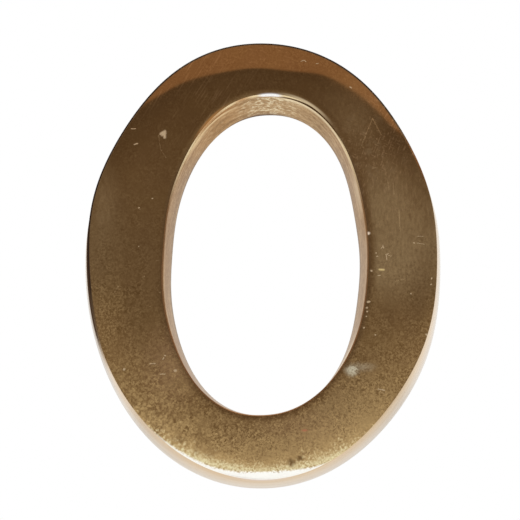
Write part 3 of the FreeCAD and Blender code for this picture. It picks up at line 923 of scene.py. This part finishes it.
def ground_back_brass():
    """The back: ground flat on a belt that ran up and down, then left to tarnish behind the number.

    It gives a dull sheen broken by upright lines.
    """
    material, tree, shader, place = new_material("ground_back_brass")
    belt = drawn_grain(tree, place, BELT_LINE, 6.0, 0.7)
    cloud = add_node(
        tree, "ShaderNodeTexNoise", {"Vector": place, "Scale": 1.0 / TARNISH_WIDTH, "Detail": 5.0}
    )
    tarnish = add_node(tree, "ShaderNodeMapRange", {"Value": cloud, "From Min": 0.42, "From Max": 0.68})
    line = add_node(tree, "ShaderNodeMapRange", {"Value": belt, "From Min": 0.35, "From Max": 0.65})
    ground = add_node(
        tree, "ShaderNodeMix", {0: line, 6: hex_colour("#a5844f"), 7: hex_colour("#bd9d65")}, data_type="RGBA"
    )
    tarnish = product(tree, tarnish, 0.6)
    colour = layered_colour(tree, ground.outputs[2], [(tarnish, "#806038")])
    tree.links.new(colour, shader.inputs["Base Color"])
    roughness = weighted_sum(tree, 0.3, [(line, 0.1), (tarnish, 0.15)])
    tree.links.new(roughness.outputs[0], shader.inputs["Roughness"])
    bump = add_node(tree, "ShaderNodeBump", {"Height": belt, "Strength": 0.8, "Distance": 0.05 * TO_METRES})
    tree.links.new(bump.outputs[0], shader.inputs["Normal"])
    return material


def tapped_brass():
    """Fresh yellow brass as the drill and the tap cut it, bright in the threads."""
    material, _, shader, _ = new_material("tapped_brass")
    shader.inputs["Base Color"].default_value = hex_colour("#c3a164")
    shader.inputs["Roughness"].default_value = 0.28
    return material


for make in (aged_face_brass, outer_wall_brass, hole_wall_brass, ground_back_brass, tapped_brass):
    mesh.materials.append(make())
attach(numeral, "root")
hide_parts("numeral")

# The studio: a pale floor below, a soft lamp overhead, and a white room. In front hangs a
# card that only the polished metal mirrors: dark brown above, a peach band below that, then
# grey that pales to white. Sizes here are in metres.
FLOOR_Z = -0.2
FLOOR_REACH = 1.8
LAMP_SIZE = 0.9
LAMP_PLACE = (0.0, -0.2, 1.0)
LAMP_WATTS = 4.6
floor_mesh = bpy.data.meshes.new("floor")
corner_sides = [(-1, -1), (1, -1), (1, 1), (-1, 1)]
floor_corners = [(FLOOR_REACH * x, FLOOR_REACH * y, FLOOR_Z) for x, y in corner_sides]
floor_mesh.from_pydata(floor_corners, [], [(0, 1, 2, 3)])
floor = bpy.data.objects.new("floor", floor_mesh)
bpy.context.collection.objects.link(floor)
floor_material = bpy.data.materials.new("pale_floor")
floor_material.use_nodes = True
floor_shader = floor_material.node_tree.nodes["Principled BSDF"]
floor_shader.inputs["Base Color"].default_value = hex_colour("#f7f6f4")
floor_shader.inputs["Roughness"].default_value = 0.9
floor_mesh.materials.append(floor_material)

lamp_data = bpy.data.lights.new("overhead_lamp", "AREA")
lamp_data.size = LAMP_SIZE
lamp_data.energy = LAMP_WATTS
lamp = bpy.data.objects.new("overhead_lamp", lamp_data)
lamp.location = LAMP_PLACE
bpy.context.collection.objects.link(lamp)

world = bpy.data.worlds.new("studio")
bpy.context.scene.world = world
world.use_nodes = True
sky = world.node_tree
sky.nodes.clear()
direction = add_node(sky, "ShaderNodeTexCoord").outputs["Generated"]
split = add_node(sky, "ShaderNodeSeparateXYZ", {0: direction})
# The card's edges are not quite level: right of where the sway ends they wave once up and down
# in each 0.25 of sideways reach. The sway's rate is in radians, its depth in steps of height
SWAY_END = -0.153
SWAY_RATE, SWAY_START = 25.5, -2.39
SWAY_DEPTH = 0.0188
CARD_LOW, CARD_HIGH = -0.2, 1.0
sideways = add_node(sky, "ShaderNodeMath", {0: split.outputs["X"], 1: SWAY_END}, operation="MAXIMUM")
phase = add_node(
    sky, "ShaderNodeMath", {0: sideways, 1: SWAY_RATE, 2: SWAY_START}, operation="MULTIPLY_ADD"
)
sway = add_node(sky, "ShaderNodeMath", {0: phase}, operation="COSINE")
level = add_node(
    sky, "ShaderNodeMath", {0: sway, 1: -SWAY_DEPTH, 2: split.outputs["Z"]}, operation="MULTIPLY_ADD"
)
height = add_node(sky, "ShaderNodeMapRange", {"Value": level, "From Min": CARD_LOW, "From Max": CARD_HIGH})
card = add_node(sky, "ShaderNodeValToRGB", {0: height})
# The card's colours from low to high; a height is the sine of the elevation seen from the number
STOPS = (
    (0.10, "#ffffff"),
    (0.156, "#fbfafa"),
    (0.235, "#d2cfd0"),
    (0.284, "#c6c2c4"),
    (0.334, "#beb6b2"),
    (0.390, "#aa9f98"),
    (0.461, "#988d87"),
    (0.465, "#f7d6c1"),
    (0.620, "#f7d6c1"),
    (0.680, "#6b5a4c"),
    (0.900, "#6b5a4c"),
    (0.990, "#ffffff"),
)
ramp = card.color_ramp
while len(ramp.elements) < len(STOPS):
    ramp.elements.new(0.5)
for element, (level, code) in zip(ramp.elements, STOPS):
    element.position = (level - CARD_LOW) / (CARD_HIGH - CARD_LOW)
    element.color = hex_colour(code)
behind = add_node(
    sky, "ShaderNodeMapRange", {"Value": split.outputs["Y"], "From Min": -0.12, "From Max": 0.02},
    interpolation_type="SMOOTHSTEP",
)
WHITE = (1.0, 1.0, 1.0, 1.0)
PLAIN_LIGHT = (0.8, 0.8, 0.8, 1.0)
mirrored = add_node(sky, "ShaderNodeMix", {0: behind, 6: card.outputs[0], 7: WHITE}, data_type="RGBA")
path = add_node(sky, "ShaderNodeLightPath")
by_metal = add_node(
    sky, "ShaderNodeMath", {0: path.outputs["Is Glossy Ray"], 1: path.outputs["Is Transmission Ray"]},
    operation="MAXIMUM",
)
lit = add_node(sky, "ShaderNodeMix", {0: by_metal, 6: PLAIN_LIGHT, 7: mirrored.outputs[2]}, data_type="RGBA")
shown = add_node(
    sky, "ShaderNodeMix", {0: path.outputs["Is Camera Ray"], 6: lit.outputs[2], 7: WHITE}, data_type="RGBA"
)
glow = add_node(sky, "ShaderNodeBackground", {"Color": shown.outputs[2]})
add_node(sky, "ShaderNodeOutputWorld", {"Surface": glow})

# The camera stands 300 mm in front of the numeral, a little below it and to the right, and
# looks up at it. Its focal length is fitted to the picture, which is 520 pixels wide.
FOCAL_PIXELS, PICTURE_PIXELS = 1375.7, 520.0
SENSOR_WIDTH = 36.0
CAMERA_DISTANCE = 299.6
CAMERA_RISE = math.radians(16.55)
CAMERA_SWING = math.radians(1.17)
AIM = (-0.35, -8.0, -2.335)
camera_data = bpy.data.cameras.new("camera")
camera_data.sensor_fit = "HORIZONTAL"
camera_data.sensor_width = SENSOR_WIDTH
camera_data.lens = SENSOR_WIDTH * FOCAL_PIXELS / PICTURE_PIXELS
camera = bpy.data.objects.new("camera", camera_data)
bpy.context.collection.objects.link(camera)
level_reach = math.cos(CAMERA_RISE)
gaze_x, gaze_y = -math.sin(CAMERA_SWING) * level_reach, math.cos(CAMERA_SWING) * level_reach
gaze = np.array([gaze_x, gaze_y, math.sin(CAMERA_RISE)])
camera.location = (np.array(AIM) - CAMERA_DISTANCE * gaze) * TO_METRES
camera.rotation_euler = (math.pi / 2.0 + CAMERA_RISE, 0.0, CAMERA_SWING)
bpy.context.scene.camera = camera
bpy.context.scene.view_settings.view_transform = "Standard"
